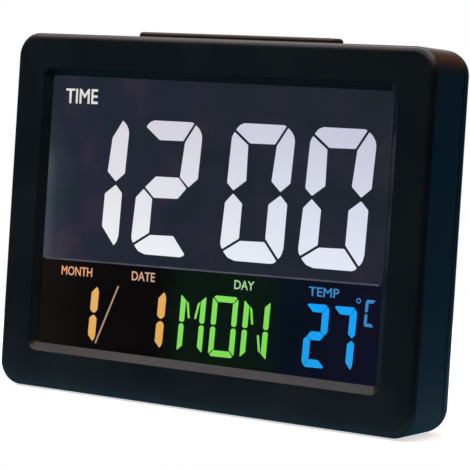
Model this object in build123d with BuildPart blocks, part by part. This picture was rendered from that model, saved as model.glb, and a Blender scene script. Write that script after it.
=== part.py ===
from build123d import *
from math import cos, radians, sin, tan
import os

os.makedirs("parts", exist_ok=True)

# A desk clock with a large colour display. The case is two mouldings that meet on a plane parallel
# to the face. The face leans back, and the case stands on a flat underside with four rubber feet.
# The origin is on the table, under the middle of the clock. The face looks along -Y.

# ---------------------------------------------------------------- driving dimensions, millimetres
CASE_W = 142.0  # width of the face
CASE_H = 105.0  # height of the face, measured up its slope
LEAN = 2.0  # the face leans back by this many degrees
BODY_DEPTH = 24.0  # face to rear wall
HUMP_DEPTH = 39.5  # face to the back of the battery hump
PARTING = 16.5  # face to the joint between the two mouldings
FACE_Y = -20.79  # the lower edge of the face, which centres the clock on the origin
WALL = 2.0
CORNER_R = 7.0
FRONT_EDGE_R = 2.0
REAR_EDGE_R = 6.5
INNER_BEVEL = 2.8  # bevel inside the rounded rear edge, which keeps the wall even
JOINT_BEVEL = 0.25  # fine bevel on both mouldings, which marks the joint
GAP = 0.2  # clearance round anything that moves

WINDOW_W = 116.4  # clear opening of the window
WINDOW_H = 79.4
WINDOW_MID = 53.0  # height of the window's middle on the face
WINDOW_R = 1.0
CHAMFER_W = 2.3  # the window's bevel, across the face and into it
CHAMFER_D = 1.7

FOOT_PROUD = 0.4  # the rubber feet lift the case by this much
FOOT_R = 4.0
FOOT_T = 1.0

HUMP_ROOT = 20.0  # the hump is drawn from this depth, inside the body
HUMP_W = 99.0
HUMP_TOP = 65.0
HUMP_R = 9.0
HUMP_TAPER = 10.0  # degrees of draft on the hump's sides
HUMP_EDGE_R = 4.0

LIP = 1.5  # tongue on the rear cover that locates the bezel
LIP_INSET = 1.1

CELL_R = 5.25  # AAA cell
CELL_LENGTH = 44.5
CELL_NUB = 1.0
CELL_PITCH = 11.1
BAY_W = 50.6
BAY_H = 33.4
BAY_MID = 32.0
BAY_FLOOR = 26.8
BAY_WALL = 1.2

DOOR_W = 56.0
DOOR_H = 38.0
DOOR_T = 1.6
DOOR_MID = 32.2
HOOK_X = 18.0
HOOK_W = 8.0
HOOK_DEPTH = 36.8  # the hooks' feet catch behind the door's seat at this depth

KEY_NAMES = ["set", "up", "down", "alarm", "unit"]
KEY_PITCH = 12.5
KEY_ROW = 84.0  # height of the row of rear buttons on the face's slope
KEY_TRAVEL = 0.5
KEY_W = 9.0
KEY_H = 5.0
KEY_PROUD = 1.0

SNOOZE_W = 66.5
SNOOZE_FRONT = 8.2  # depths of the snooze bar's front and rear edges
SNOOZE_REAR = 16.2
SNOOZE_TOP = 106.7  # height of the snooze bar at its front edge
SNOOZE_R = 2.0  # rounding of its corners, seen from above
SNOOZE_EDGE_R = 1.0  # rounding of its upper edges
SNOOZE_FLANGE = (101.6, 102.8)  # heights of the flange that keeps the bar in the case

SWITCH_SIZE = 6.0  # push switches under the bar and the keys
SWITCH_BODY = 3.5
PLUNGER_R = 1.2

# Layers behind the window, each from a depth to a depth behind the face
LENS_TAPE = (2.0, 2.15)
LENS = (2.15, 3.15)
GLASS_FRONT = (3.2, 4.5)
GLASS_REAR = (4.5, 5.8)
FILM = (5.8, 6.0)
DIFFUSER = (6.0, 6.3)
LIGHT_GUIDE = (6.3, 8.8)
REFLECTOR = (8.8, 9.0)
TRAY_FLOOR = (9.0, 10.2)
BOARD = (10.2, 11.8)
KEY_BOARD = (15.2, 16.4)

# Spots on the face's slope, across and up
CASE_SCREWS = [(x, y) for x in (-64.8, 64.8) for y in (16.0, 90.0)]
BOARD_SCREWS = [(x, y) for x in (-52.0, 52.0) for y in (6.4, 100.8)]
KEY_SCREWS = [(-33.0, KEY_ROW), (33.0, KEY_ROW)]
KEY_SPOTS = [((i - 2) * KEY_PITCH, KEY_ROW) for i in range(len(KEY_NAMES))]
CELL_ROWS = [BAY_MID + i * CELL_PITCH for i in (1, 0, -1)]
BUZZER_SPOT = (50.0, KEY_ROW)
SENSOR_SPOT = (-50.0, KEY_ROW)
USB_SPOT = (56.0, 28.3)

# ---------------------------------------------------------------- the leaning frame of the case
lean = radians(LEAN)
face = Plane((0, FACE_Y, FOOT_PROUD), x_dir=(1, 0, 0), z_dir=(0, -cos(lean), sin(lean)))
side = Plane(face.origin, x_dir=-face.z_dir, z_dir=(1, 0, 0))
depth_axis = Axis(face.origin, -face.z_dir)
up_axis = Axis(face.origin, face.y_dir)


def behind(depth):
    """The plane at a depth behind the face. Its X runs to the right and its Y up the face."""
    return face.offset(-depth)


def level(height):
    """The plane at a height up the face. Its X runs to the right and its Y into the case."""
    return Plane(face.origin + face.y_dir * height, x_dir=(1, 0, 0), z_dir=face.y_dir)


def across(x):
    """The plane at a distance to the right. Its X runs into the case and its Y up the face."""
    return side.offset(x)


def underside(depth, inset=0.0):
    """How far up the face the flat underside lies at a depth, or a plane inset above it."""
    return depth * tan(lean) + inset / cos(lean)


def thickness(layer):
    return layer[1] - layer[0]


# ---------------------------------------------------------------- forms that both mouldings share
def case_form(inset):
    """The closed case without its hump, drawn in on every side by inset."""
    front = inset
    rear = BODY_DEPTH - inset
    top = CASE_H - inset
    with BuildPart() as form:
        with BuildSketch(side):
            with BuildLine():
                Polyline(
                    (front, underside(front, inset)),
                    (rear, underside(rear, inset)),
                    (rear, top),
                    (front, top),
                    close=True,
                )
            make_face()
        extrude(amount=CASE_W / 2 - inset, both=True)
        long_edges = form.edges().filter_by(depth_axis) + form.edges().filter_by(Axis.Y)
        fillet(long_edges, CORNER_R - inset)
        rear_rim = form.faces().sort_by(depth_axis)[-1].edges()
        if inset < FRONT_EDGE_R:
            fillet(rear_rim, REAR_EDGE_R - inset)
            fillet(form.faces().sort_by(depth_axis)[0].edges(), FRONT_EDGE_R - inset)
        else:
            chamfer(rear_rim, INNER_BEVEL)
    return form.part


def hump_form(inset):
    """The tapered block behind the body that holds the cells, drawn in by inset."""
    slant = inset / cos(radians(HUMP_TAPER))
    below = -30.0  # starts well under the table, where it is cut off level
    with BuildPart() as form:
        with BuildSketch(behind(HUMP_ROOT)):
            with Locations((0, (HUMP_TOP - slant + below) / 2)):
                RectangleRounded(HUMP_W - 2 * slant, HUMP_TOP - slant - below, HUMP_R - slant)
        extrude(amount=-(HUMP_DEPTH - inset - HUMP_ROOT), taper=HUMP_TAPER)
        rear_rim = form.faces().sort_by(depth_axis)[-1].edges()
        if inset == 0:
            fillet(rear_rim, HUMP_EDGE_R)
        else:
            chamfer(rear_rim, 1.2)
        split(bisect_by=Plane.XY.offset(FOOT_PROUD + inset), keep=Keep.TOP)
    return form.part


def case_ring(outer, inner, front, rear):
    """A band of the case's wall between two insets, from a depth to a depth."""
    with BuildPart() as ring:
        add(case_form(outer))
        add(case_form(inner), mode=Mode.SUBTRACT)
        split(bisect_by=behind(front), keep=Keep.BOTTOM)
        split(bisect_by=behind(rear), keep=Keep.TOP)
    return ring.part


case_outside = case_form(0)
case_hollow = case_form(WALL)
hump_outside = hump_form(0)
hump_hollow = hump_form(WALL)

# Round recesses under the bezel and under the hump take the rubber feet.
FOOT_SPOTS = [(-56.0, 8.5), (56.0, 8.5), (-36.0, 33.0), (36.0, 33.0)]
foot_places = [(x, FACE_Y + depth / cos(lean)) for x, depth in FOOT_SPOTS]

# ---------------------------------------------------------------- front bezel
LENS_RIM = 1.0
LENS_RIM_SIZE = (122.4, 84.8)
LENS_SEAT_SIZE = (120.4, 82.8)
BOSS_R = 3.0
RIB_ROWS = (35.0, 53.0, 71.0)
PILOT_R = 1.1
POST_R = 2.5

with BuildPart() as front_bezel:
    add(case_outside)
    add(case_hollow, mode=Mode.SUBTRACT)
    split(bisect_by=behind(PARTING), keep=Keep.TOP)
    chamfer(front_bezel.faces().sort_by(depth_axis)[-1].outer_wire().edges(), JOINT_BEVEL)
    # rebate for the rear cover's lip
    add(case_ring(LIP_INSET - 0.1, WALL + 0.5, PARTING - LIP - 0.1, PARTING), mode=Mode.SUBTRACT)
    # window with its bevel
    with BuildSketch(behind(WALL)):
        with Locations((0, WINDOW_MID)):
            RectangleRounded(WINDOW_W, WINDOW_H, WINDOW_R)
    extrude(amount=WALL, mode=Mode.SUBTRACT)
    face_wall = front_bezel.faces().sort_by(depth_axis)[0]
    chamfer(face_wall.inner_wires()[0].edges(), CHAMFER_W, CHAMFER_D, reference=face_wall)
    # raised rim that locates the lens
    with BuildSketch(behind(WALL + LENS_RIM)):
        with Locations((0, WINDOW_MID)):
            Rectangle(*LENS_RIM_SIZE)
            Rectangle(*LENS_SEAT_SIZE, mode=Mode.SUBTRACT)
    extrude(amount=LENS_RIM)
    # bosses for the case screws, and posts for the main board's screws
    with BuildSketch(behind(PARTING)):
        with Locations(*CASE_SCREWS):
            Circle(BOSS_R)
    extrude(amount=PARTING - WALL)
    with BuildSketch(behind(PARTING)):
        with Locations(*CASE_SCREWS):
            Circle(PILOT_R)
    extrude(amount=9.0, mode=Mode.SUBTRACT)
    with BuildSketch(behind(BOARD[0])):
        with Locations(*BOARD_SCREWS):
            Circle(POST_R)
    extrude(amount=BOARD[0] - WALL)
    with BuildSketch(behind(BOARD[0])):
        with Locations(*BOARD_SCREWS):
            Circle(0.9)
    extrude(amount=6.0, mode=Mode.SUBTRACT)
    # ribs that stiffen the side walls
    for x in (-1, 1):
        with BuildSketch(behind(PARTING - LIP - 1.0)):
            with Locations(*[(x * (CASE_W / 2 - WALL - 0.9), y) for y in RIB_ROWS]):
                Rectangle(2.2, 1.2)
        extrude(amount=PARTING - LIP - 1.0 - WALL)
    # notch in the top wall for the snooze bar
    with BuildSketch(level(CASE_H + 1.0)):
        with Locations((0, SNOOZE_FRONT - GAP - 0.1)):
            Rectangle(SNOOZE_W + 2 * GAP + 0.2, 20.0, align=(Align.CENTER, Align.MIN))
        fillet(vertices().sort_by(depth_axis)[:2], SNOOZE_R + GAP)
    extrude(amount=-(WALL + 1.5), mode=Mode.SUBTRACT)
    # recesses for the two front feet
    with BuildSketch(Plane.XY):
        with Locations(*foot_places[:2]):
            Circle(FOOT_R)
    extrude(amount=FOOT_T, mode=Mode.SUBTRACT)
front_bezel.part.label = "front_bezel"
export_step(front_bezel.part, "parts/front_bezel.step")

# ---------------------------------------------------------------- rear cover
DOOR_SEAT = HUMP_DEPTH - DOOR_T - 0.1
SEAT_BACK = DOOR_SEAT - DOOR_T
BEYOND = HUMP_DEPTH + 1.0  # cuts from behind start here
REAR_INSIDE = BODY_DEPTH - WALL
SCREW_SEAT = 19.0
SCREW_WELL_R = 2.7  # the screw heads lie deep in these wells
SCREW_CLEAR_R = 1.4
GRILLE_RINGS = [(0.0, 1), (2.8, 6)]
USB_CHANNELS = [(49.6, 1), (62.4, -1)]
LATCH_W = 10.0
LATCH_ROW = 50.7
HOOK_ROW = 14.4
PANEL_DEEP = 0.6  # depth of the panels round the keys and the socket
POCKET_H = 4.5  # the hooks' feet turn down into these pockets

with BuildSketch(side) as bay_rib:
    with BuildLine():
        Polyline(
            (BAY_FLOOR, underside(BAY_FLOOR, 1.0)),
            (HUMP_DEPTH - WALL, underside(HUMP_DEPTH - WALL, 1.0)),
            (HUMP_DEPTH - WALL, BAY_MID - BAY_H / 2),
            (BAY_FLOOR, BAY_MID - BAY_H / 2),
            close=True,
        )
    make_face()

with BuildPart() as rear_cover:
    add(case_outside)
    add(case_hollow, mode=Mode.SUBTRACT)
    split(bisect_by=behind(PARTING), keep=Keep.BOTTOM)
    chamfer(rear_cover.faces().sort_by(depth_axis)[0].outer_wire().edges(), JOINT_BEVEL)
    add(case_ring(LIP_INSET, WALL + 0.01, PARTING - LIP, PARTING + 1.0))
    # the lip stops short of the snooze bar
    with BuildSketch(level(CASE_H)):
        with Locations((0, PARTING)):
            Rectangle(SNOOZE_W + 8.0, LIP + GAP, align=(Align.CENTER, Align.MAX))
    extrude(amount=-4.0, mode=Mode.SUBTRACT)
    # the battery hump opens into the body
    add(split(hump_outside, bisect_by=behind(REAR_INSIDE), keep=Keep.BOTTOM, mode=Mode.PRIVATE))
    add(hump_hollow, mode=Mode.SUBTRACT)
    # frame that thickens the wall round the battery door
    with BuildSketch(behind(HUMP_DEPTH - 1.0)):
        with Locations((0, DOOR_MID)):
            Rectangle(DOOR_W + 4.0, DOOR_H + 4.0)
    extrude(amount=HUMP_DEPTH - 1.0 - SEAT_BACK)
    # battery bay, carried by three ribs on the underside
    with BuildSketch(behind(DOOR_SEAT)):
        with Locations((0, BAY_MID)):
            Rectangle(BAY_W + 2 * BAY_WALL, BAY_H + 2 * BAY_WALL)
    extrude(amount=DOOR_SEAT - BAY_FLOOR + BAY_WALL)
    for x in (-24.0, 0.0, 24.0):
        extrude(bay_rib.sketch.moved(Location((x, 0, 0))), amount=BAY_WALL / 2, both=True)
    with BuildSketch(behind(BEYOND)):
        with Locations((0, BAY_MID)):
            RectangleRounded(BAY_W, BAY_H, 0.8)
    extrude(amount=BEYOND - BAY_FLOOR, mode=Mode.SUBTRACT)
    # seat of the battery door, slots and pockets for its hooks, its latch's slot, a thumb scoop
    with BuildSketch(behind(BEYOND)):
        with Locations((0, DOOR_MID)):
            RectangleRounded(DOOR_W + 2 * GAP, DOOR_H + 2 * GAP, 1.2)
    extrude(amount=BEYOND - DOOR_SEAT, mode=Mode.SUBTRACT)
    with BuildSketch(behind(DOOR_SEAT)):
        with Locations((-HOOK_X, HOOK_ROW), (HOOK_X, HOOK_ROW)):
            Rectangle(HOOK_W + 1.5, 2.2)
        with Locations((0, LATCH_ROW)):
            Rectangle(LATCH_W + 2.0, 1.6)
    extrude(amount=3.0, mode=Mode.SUBTRACT)
    with BuildSketch(behind(HOOK_DEPTH + 0.15)):
        with Locations((-HOOK_X, HOOK_ROW - 1.15), (HOOK_X, HOOK_ROW - 1.15)):
            Rectangle(HOOK_W + 1.5, POCKET_H)
    extrude(amount=2.2, mode=Mode.SUBTRACT)
    with BuildSketch(across(-6.0)):
        with Locations((HUMP_DEPTH + 5.0, 53.8)):
            Circle(6.2)
    extrude(amount=12.0, mode=Mode.SUBTRACT)
    # tubes for the case screws
    with BuildSketch(behind(REAR_INSIDE + 0.4)):
        with Locations(*CASE_SCREWS):
            Circle(BOSS_R + 0.4)
    extrude(amount=REAR_INSIDE + 0.4 - PARTING)
    with BuildSketch(behind(BEYOND)):
        with Locations(*CASE_SCREWS):
            Circle(SCREW_WELL_R)
    extrude(amount=BEYOND - SCREW_SEAT, mode=Mode.SUBTRACT)
    with BuildSketch(behind(SCREW_SEAT + 1.0)):
        with Locations(*CASE_SCREWS):
            Circle(SCREW_CLEAR_R)
    extrude(amount=SCREW_SEAT + 1.0 - PARTING, mode=Mode.SUBTRACT)
    # posts for the key board
    with BuildSketch(behind(REAR_INSIDE + 0.2)):
        with Locations(*KEY_SCREWS):
            Circle(POST_R)
    extrude(amount=REAR_INSIDE + 0.2 - KEY_BOARD[1])
    with BuildSketch(behind(KEY_BOARD[1])):
        with Locations(*KEY_SCREWS):
            Circle(0.8)
    extrude(amount=-5.0, mode=Mode.SUBTRACT)
    # channels that hold the little socket board
    with BuildSketch(behind(REAR_INSIDE + 0.2)):
        for x, _ in USB_CHANNELS:
            with Locations((x, USB_SPOT[1] - 2.0)):
                Rectangle(2.4, 4.2)
    extrude(amount=8.0)
    with BuildSketch(behind(REAR_INSIDE)):
        for x, inward in USB_CHANNELS:
            with Locations((x + inward * 0.8, USB_SPOT[1] - 2.0)):
                Rectangle(1.0, 1.3)
    extrude(amount=8.0, mode=Mode.SUBTRACT)
    # shallow panel with the five key holes, the buzzer's grille, the sensor's vents, the socket
    with BuildSketch(behind(BEYOND)):
        with Locations((0, KEY_ROW)):
            RectangleRounded(4 * KEY_PITCH + KEY_W + 7.0, KEY_H + 7.0, 3.5)
        with Locations(USB_SPOT):
            RectangleRounded(11.4, 7.0, 2.2)
    extrude(amount=BEYOND - BODY_DEPTH + PANEL_DEEP, mode=Mode.SUBTRACT)
    with BuildSketch(behind(BODY_DEPTH)):
        with Locations(*KEY_SPOTS):
            RectangleRounded(KEY_W + 2 * GAP, KEY_H + 2 * GAP, 1.2)
        with Locations(BUZZER_SPOT):
            for radius, count in GRILLE_RINGS:
                with PolarLocations(radius, count):
                    Circle(0.8)
        with Locations(SENSOR_SPOT):
            with GridLocations(2.6, 0, 4, 1):
                Rectangle(1.2, 8.0)
        with Locations(USB_SPOT):
            RectangleRounded(8.2, 3.5, 1.0)
    extrude(amount=WALL + 0.1, mode=Mode.SUBTRACT)
    # recesses for the two rear feet
    with BuildSketch(Plane.XY):
        with Locations(*foot_places[2:]):
            Circle(FOOT_R)
    extrude(amount=FOOT_T, mode=Mode.SUBTRACT)
rear_cover.part.label = "rear_cover"
export_step(rear_cover.part, "parts/rear_cover.step")

# ---------------------------------------------------------------- window and display
LENS_SIZE = (120.0, 82.4)
GLASS_W = 118.4
GLASS_BOTTOM = 11.3
GLASS_TOP = 97.3
VIEW_TOP = 93.4  # the light guide and the rear glass end here, below the contact ledge
SHEET_W = 117.6

with BuildPart() as lens_tape:
    with BuildSketch(behind(LENS_TAPE[1])):
        with Locations((0, WINDOW_MID)):
            Rectangle(*LENS_SIZE)
            Rectangle(WINDOW_W + 0.8, WINDOW_H + 0.8, mode=Mode.SUBTRACT)
    extrude(amount=thickness(LENS_TAPE))
lens_tape.part.label = "lens_tape"
export_step(lens_tape.part, "parts/lens_tape.step")

with BuildPart() as display_lens:
    with BuildSketch(behind(LENS[1])):
        with Locations((0, WINDOW_MID)):
            RectangleRounded(*LENS_SIZE, 0.8)
    extrude(amount=thickness(LENS))
display_lens.part.label = "display_lens"
export_step(display_lens.part, "parts/display_lens.step")

# Two glass plates with the liquid crystal between them. The front one has a bare ledge at the top
# that carries the contacts.
with BuildPart() as lcd_panel:
    with BuildSketch(behind(GLASS_FRONT[1])):
        with Locations((0, GLASS_BOTTOM)):
            Rectangle(GLASS_W, GLASS_TOP - GLASS_BOTTOM, align=(Align.CENTER, Align.MIN))
    extrude(amount=thickness(GLASS_FRONT))
    with BuildSketch(behind(GLASS_REAR[1])):
        with Locations((0, GLASS_BOTTOM)):
            Rectangle(GLASS_W, VIEW_TOP - GLASS_BOTTOM, align=(Align.CENTER, Align.MIN))
    extrude(amount=thickness(GLASS_REAR))
lcd_panel.part.label = "lcd_panel"
export_step(lcd_panel.part, "parts/lcd_panel.step")

# Thin sheets behind the glass, all of one size.
for label, layer in (("colour_film", FILM), ("diffuser_sheet", DIFFUSER), ("reflector_sheet", REFLECTOR)):
    with BuildPart() as sheet:
        with BuildSketch(behind(layer[1])):
            with Locations((0, GLASS_BOTTOM + 0.3)):
                Rectangle(SHEET_W, VIEW_TOP - GLASS_BOTTOM - 0.3, align=(Align.CENTER, Align.MIN))
        extrude(amount=thickness(layer))
    sheet.part.label = label
    export_step(sheet.part, f"parts/{label}.step")

# ---------------------------------------------------------------- backlight
LED_STRIP_W = 1.0
LED_DEEP = 1.3
GUIDE_W = SHEET_W - LED_STRIP_W - LED_DEEP - 0.1
LED_ROWS = [18.0 + i * 14.0 for i in range(6)]

with BuildPart() as light_guide:
    with BuildSketch(behind(LIGHT_GUIDE[1])):
        with Locations((SHEET_W / 2, GLASS_BOTTOM + 0.3)):
            Rectangle(GUIDE_W, VIEW_TOP - GLASS_BOTTOM - 0.3, align=(Align.MAX, Align.MIN))
    extrude(amount=thickness(LIGHT_GUIDE))
light_guide.part.label = "light_guide"
export_step(light_guide.part, "parts/light_guide.step")

with BuildPart() as led_strip:
    with BuildSketch(behind(LIGHT_GUIDE[1])):
        with Locations((-SHEET_W / 2, GLASS_BOTTOM + 0.3)):
            Rectangle(LED_STRIP_W, VIEW_TOP - GLASS_BOTTOM - 0.3, align=(Align.MIN, Align.MIN))
    extrude(amount=thickness(LIGHT_GUIDE))
led_strip.part.label = "led_strip"
export_step(led_strip.part, "parts/led_strip.step")

with BuildPart() as backlight_leds:
    with BuildSketch(behind(LIGHT_GUIDE[1] - 0.2)):
        for height in LED_ROWS:
            with Locations((-SHEET_W / 2 + LED_STRIP_W, height)):
                Rectangle(LED_DEEP, 3.0, align=(Align.MIN, Align.CENTER))
    extrude(amount=thickness(LIGHT_GUIDE) - 0.4)
backlight_leds.part.label = "backlight_leds"
export_step(backlight_leds.part, "parts/backlight_leds.step")

TRAY_W = 121.2
TRAY_BOTTOM = 10.0
TRAY_TOP = 98.2
ZEBRA = (94.3, 96.3)
ZEBRA_W = 100.0

# White tray that holds the glass, the sheets and the light guide, with a slot for the contacts.
with BuildPart() as backlight_tray:
    with BuildSketch(behind(TRAY_FLOOR[1])):
        with Locations((0, TRAY_BOTTOM)):
            RectangleRounded(TRAY_W, TRAY_TOP - TRAY_BOTTOM, 1.0, align=(Align.CENTER, Align.MIN))
    extrude(amount=TRAY_FLOOR[1] - GLASS_FRONT[0])
    with BuildSketch(behind(TRAY_FLOOR[0])):
        with Locations((0, GLASS_BOTTOM - 0.1)):
            Rectangle(GLASS_W + 0.2, GLASS_TOP - GLASS_BOTTOM + 0.2, align=(Align.CENTER, Align.MIN))
    extrude(amount=TRAY_FLOOR[0] - GLASS_FRONT[0], mode=Mode.SUBTRACT)
    with BuildSketch(behind(TRAY_FLOOR[0])):
        with Locations((0, VIEW_TOP + 0.1)):
            Rectangle(GLASS_W + 0.2, 0.6, align=(Align.CENTER, Align.MIN))
    extrude(amount=TRAY_FLOOR[0] - GLASS_REAR[0] - 0.1)
    with BuildSketch(behind(TRAY_FLOOR[1])):
        with Locations((0, sum(ZEBRA) / 2)):
            Rectangle(ZEBRA_W + 1.0, 2.4)
    extrude(amount=thickness(TRAY_FLOOR), mode=Mode.SUBTRACT)
backlight_tray.part.label = "backlight_tray"
export_step(backlight_tray.part, "parts/backlight_tray.step")

with BuildPart() as zebra_connector:
    with BuildSketch(behind(BOARD[0])):
        with Locations((0, sum(ZEBRA) / 2)):
            Rectangle(ZEBRA_W, thickness(ZEBRA))
    extrude(amount=BOARD[0] - GLASS_FRONT[1])
zebra_connector.part.label = "zebra_connector"
export_step(zebra_connector.part, "parts/zebra_connector.step")

# ---------------------------------------------------------------- main board and what it carries
MAIN_W = 116.0
MAIN_BOTTOM = 4.2
MAIN_TOP = 102.6
MAIN_NOTCH = 97.8  # the board stops here under the snooze bar

with BuildPart() as main_board:
    with BuildSketch(behind(BOARD[1])):
        with Locations((0, MAIN_BOTTOM)):
            Rectangle(MAIN_W, MAIN_TOP - MAIN_BOTTOM, align=(Align.CENTER, Align.MIN))
        with Locations((0, MAIN_NOTCH)):
            Rectangle(76.0, 10.0, align=(Align.CENTER, Align.MIN), mode=Mode.SUBTRACT)
        with Locations(*BOARD_SCREWS):
            Circle(1.1, mode=Mode.SUBTRACT)
    extrude(amount=thickness(BOARD))
main_board.part.label = "main_board"
export_step(main_board.part, "parts/main_board.step")

with BuildPart() as clock_chip:
    with BuildSketch(behind(BOARD[1])):
        with Locations((-15.0, 62.0)):
            Circle(8.0)
    extrude(amount=-1.8)
    chamfer(clock_chip.faces().sort_by(depth_axis)[-1].edges(), 1.2)
clock_chip.part.label = "clock_chip"
export_step(clock_chip.part, "parts/clock_chip.step")

with BuildPart() as quartz_crystal:
    with BuildSketch(level(56.0)):
        with Locations((2.0, BOARD[1] + 1.5)):
            Circle(1.5)
    extrude(amount=8.0)
    chamfer(quartz_crystal.faces().sort_by(up_axis)[-1].edges(), 0.3)
quartz_crystal.part.label = "quartz_crystal"
export_step(quartz_crystal.part, "parts/quartz_crystal.step")

with BuildPart() as capacitors:
    with BuildSketch(behind(BOARD[1] + 7.0)):
        with Locations((-40.0, 71.0), (-40.0, 64.0)):
            Circle(2.5)
    extrude(amount=7.0)
    chamfer(capacitors.edges().filter_by(GeomType.CIRCLE).group_by(depth_axis)[-1], 0.4)
capacitors.part.label = "capacitors"
export_step(capacitors.part, "parts/capacitors.step")

with BuildPart() as temperature_sensor:
    with BuildSketch(behind(BOARD[1])):
        with Locations(SENSOR_SPOT):
            with GridLocations(1.6, 0, 2, 1):
                Circle(0.3)
    extrude(amount=-7.0)
    with BuildSketch(behind(BOARD[1] + 8.5)):
        with Locations(SENSOR_SPOT):
            SlotOverall(3.4, 2.2)
    extrude(amount=2.5)
temperature_sensor.part.label = "temperature_sensor"
export_step(temperature_sensor.part, "parts/temperature_sensor.step")

with BuildPart() as buzzer:
    with BuildSketch(behind(BOARD[1] + 8.5)):
        with Locations(BUZZER_SPOT):
            Circle(6.0)
    extrude(amount=8.5)
    chamfer(buzzer.faces().sort_by(depth_axis)[-1].edges(), 0.5)
    with BuildSketch(behind(BOARD[1] + 8.5)):
        with Locations(BUZZER_SPOT):
            Circle(1.2)
    extrude(amount=2.0, mode=Mode.SUBTRACT)
buzzer.part.label = "buzzer"
export_step(buzzer.part, "parts/buzzer.step")

# ---------------------------------------------------------------- snooze bar and its switch
SNOOZE_SWITCH_DEPTH = BOARD[1] + SWITCH_BODY / 2
SNOOZE_SWITCH_TOP = 98.6
PLUNGER_TOP = 100.0  # where the bar's stem rests on the plunger
PLUNGER_LENGTH = 2.0

with BuildPart() as snooze_switch:
    with BuildSketch(level(SNOOZE_SWITCH_TOP)):
        with Locations((0, SNOOZE_SWITCH_DEPTH)):
            Rectangle(SWITCH_SIZE, SWITCH_BODY)
    extrude(amount=-SWITCH_SIZE)
    with BuildSketch(level(SNOOZE_SWITCH_TOP)):
        with Locations((0, SNOOZE_SWITCH_DEPTH)):
            Circle(PLUNGER_R + 0.07)
    extrude(amount=-2.0, mode=Mode.SUBTRACT)
snooze_switch.part.label = "snooze_switch"
export_step(snooze_switch.part, "parts/snooze_switch.step")

with BuildPart() as snooze_plunger:
    with BuildSketch(level(PLUNGER_TOP)):
        with Locations((0, SNOOZE_SWITCH_DEPTH)):
            Circle(PLUNGER_R)
    extrude(amount=-PLUNGER_LENGTH)
snooze_plunger.part.label = "snooze_plunger"
export_step(snooze_plunger.part, "parts/snooze_plunger.step")

# The top of the bar is level, so it rises a little up the leaning face.
with BuildPart() as snooze_bar:
    with BuildSketch(side):
        with BuildLine():
            Polyline(
                (SNOOZE_FRONT, SNOOZE_FLANGE[1]),
                (SNOOZE_REAR, SNOOZE_FLANGE[1]),
                (SNOOZE_REAR, SNOOZE_TOP + (SNOOZE_REAR - SNOOZE_FRONT) * tan(lean)),
                (SNOOZE_FRONT, SNOOZE_TOP),
                close=True,
            )
        make_face()
    extrude(amount=SNOOZE_W / 2, both=True)
    fillet(snooze_bar.edges().filter_by(up_axis), SNOOZE_R)
    fillet(snooze_bar.faces().sort_by(up_axis)[-1].edges(), SNOOZE_EDGE_R)
    with BuildSketch(level(SNOOZE_FLANGE[0])):
        with Locations((0, 6.6)):
            Rectangle(SNOOZE_W + 4.0, 11.2, align=(Align.CENTER, Align.MIN))
    extrude(amount=thickness(SNOOZE_FLANGE))
    with BuildSketch(level(SNOOZE_FLANGE[0])):
        with Locations((0, (SNOOZE_FRONT + SNOOZE_REAR) / 2)):
            Rectangle(SNOOZE_W - 3.2, SNOOZE_REAR - SNOOZE_FRONT - 3.2)
    extrude(amount=3.6, mode=Mode.SUBTRACT)
    with BuildSketch(level(PLUNGER_TOP)):
        with Locations((0, SNOOZE_SWITCH_DEPTH - 0.5)):
            Rectangle(8.0, 4.6)
    extrude(amount=5.4)
snooze_bar.part.label = "snooze_bar"
export_step(snooze_bar.part, "parts/snooze_bar.step")

# ---------------------------------------------------------------- rear keys
KEY_REST = REAR_INSIDE - 0.1 - 1.2  # depth of the keys' inner faces

with BuildPart() as key_board:
    with BuildSketch(behind(KEY_BOARD[1])):
        with Locations((0, KEY_ROW)):
            Rectangle(74.0, 11.0)
        with Locations(*KEY_SCREWS):
            Circle(1.0, mode=Mode.SUBTRACT)
    extrude(amount=thickness(KEY_BOARD))
key_board.part.label = "key_board"
export_step(key_board.part, "parts/key_board.step")

with BuildPart() as key_switches:
    with BuildSketch(behind(KEY_BOARD[1] + SWITCH_BODY)):
        with Locations(*KEY_SPOTS):
            Rectangle(SWITCH_SIZE, SWITCH_SIZE)
    extrude(amount=SWITCH_BODY)
    with BuildSketch(behind(KEY_BOARD[1] + SWITCH_BODY)):
        with Locations(*KEY_SPOTS):
            Circle(PLUNGER_R + 0.07)
    extrude(amount=2.0, mode=Mode.SUBTRACT)
key_switches.part.label = "key_switches"
export_step(key_switches.part, "parts/key_switches.step")

for name, spot in zip(KEY_NAMES, KEY_SPOTS):
    with BuildPart() as key:
        with BuildSketch(behind(BODY_DEPTH + KEY_PROUD)):
            with Locations(spot):
                RectangleRounded(KEY_W, KEY_H, 1.0)
        extrude(amount=BODY_DEPTH + KEY_PROUD - KEY_REST)
        chamfer(key.faces().sort_by(depth_axis)[-1].edges(), 0.4)
        with BuildSketch(behind(REAR_INSIDE - 0.1)):
            with Locations(spot):
                Rectangle(KEY_W + 2.0, KEY_H + 2.0)
        extrude(amount=1.2)
    key.part.label = f"{name}_button"
    export_step(key.part, f"parts/{name}_button.step")

    with BuildPart() as plunger:
        with BuildSketch(behind(KEY_REST)):
            with Locations(spot):
                Circle(PLUNGER_R)
        extrude(amount=1.6)
    plunger.part.label = f"{name}_plunger"
    export_step(plunger.part, f"parts/{name}_plunger.step")

# Flat cable that joins the two boards, folded once.
with BuildPart() as board_ribbon:
    with BuildLine(side) as fold:
        FilletPolyline((BOARD[1], 70.0), (13.4, 70.0), (13.4, 80.5), (KEY_BOARD[0], 80.5), radius=0.8)
    with BuildSketch(Plane(fold.line @ 0, x_dir=(1, 0, 0), z_dir=fold.line % 0)):
        Rectangle(10.0, 0.3)
    sweep()
board_ribbon.part.label = "board_ribbon"
export_step(board_ribbon.part, "parts/board_ribbon.step")

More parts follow.
